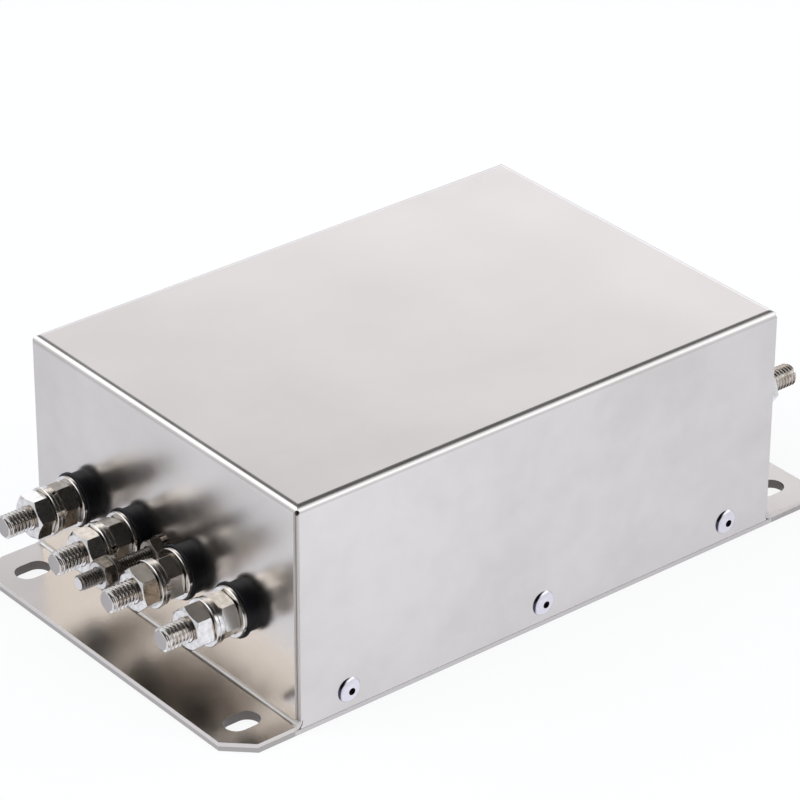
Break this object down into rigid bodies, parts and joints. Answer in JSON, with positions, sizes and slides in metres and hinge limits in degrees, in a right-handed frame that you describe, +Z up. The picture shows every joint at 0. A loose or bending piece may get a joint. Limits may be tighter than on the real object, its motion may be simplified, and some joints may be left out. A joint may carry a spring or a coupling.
{
  "type": "emi line filter",
  "caption": "EMI line filter in a folded nickel-plated steel case with slotted end flanges, riveted sides and a row of insulated threaded terminals at each end.",
  "frame": {"origin": "centre of the case at the underside of its base plate", "axes": "+X along the case from the line end to the load end, +Y across it, +Z up away from the mounting panel"},
  "size_m": [0.2001, 0.1074, 0.0612],
  "materials": {
    "nickel_sheet": "bright satin nickel plate on rolled steel sheet",
    "zinc_sheet": "zinc plated steel sheet",
    "rivet_aluminium": "satin",
    "mandrel_steel": "plain broken steel",
    "bush_plastic": "black moulded, satin",
    "nickel_hardware": "nickel plated steel, satin",
    "tinned_copper": "tinned copper",
    "lead_red": "extruded insulation",
    "lead_green": "extruded insulation",
    "board_epoxy": "glass fibre epoxy board",
    "core_case": "black moulded case",
    "enamelled_copper": "enamelled copper wire",
    "divider_board": "pressed insulating board",
    "xcap_plastic": "yellow moulded box",
    "ycap_plastic": "blue moulded box",
    "resistor_body": "lacquered"
  },
  "bodies": {
    "root": {"base_plate": "nickel_sheet", "bleeder_resistors": "resistor_body", "board": "board_epoxy", "board_screws": "nickel_hardware", "board_standoffs": "nickel_hardware", "choke_core": "core_case", "choke_divider": "divider_board", "cover": "nickel_sheet", "earth_clamp_nuts": "nickel_hardware", "earth_flat_washers": "nickel_hardware", "earth_leads": "lead_green", "earth_lock_washers": "nickel_hardware", "earth_lugs": "tinned_copper", "earth_outer_nuts": "nickel_hardware", "earth_spring_washers": "nickel_hardware", "front_rail": "zinc_sheet", "line_bush_1": "bush_plastic", "line_bush_2": "bush_plastic", "line_bush_3": "bush_plastic", "line_bush_4": "bush_plastic", "line_clamp_nuts": "nickel_hardware", "line_earth_screw": "nickel_hardware", "line_flat_washers": "nickel_hardware", "line_inner_bushes": "bush_plastic", "line_leads": "lead_red", "line_lugs": "tinned_copper", "line_outer_nuts": "nickel_hardware", "line_screw_1": "nickel_hardware", "line_screw_2": "nickel_hardware", "line_screw_3": "nickel_hardware", "line_screw_4": "nickel_hardware", "line_seat_washers": "nickel_hardware", "line_spring_washers": "nickel_hardware", "line_x_capacitors": "xcap_plastic", "load_bush_1": "bush_plastic", "load_bush_2": "bush_plastic", "load_bush_3": "bush_plastic", "load_bush_4": "bush_plastic", "load_clamp_nuts": "nickel_hardware", "load_earth_screw": "nickel_hardware", "load_flat_washers": "nickel_hardware", "load_inner_bushes": "bush_plastic", "load_leads": "lead_red", "load_lugs": "tinned_copper", "load_outer_nuts": "nickel_hardware", "load_screw_1": "nickel_hardware", "load_screw_2": "nickel_hardware", "load_screw_3": "nickel_hardware", "load_screw_4": "nickel_hardware", "load_seat_washers": "nickel_hardware", "load_spring_washers": "nickel_hardware", "load_x_capacitors": "xcap_plastic", "rear_rail": "zinc_sheet", "rivet_mandrels": "mandrel_steel", "side_rivets": "rivet_aluminium", "winding_1": "enamelled_copper", "winding_2": "enamelled_copper", "winding_3": "enamelled_copper", "winding_4": "enamelled_copper", "y_capacitors": "ycap_plastic"}
  },
  "joints": []
}
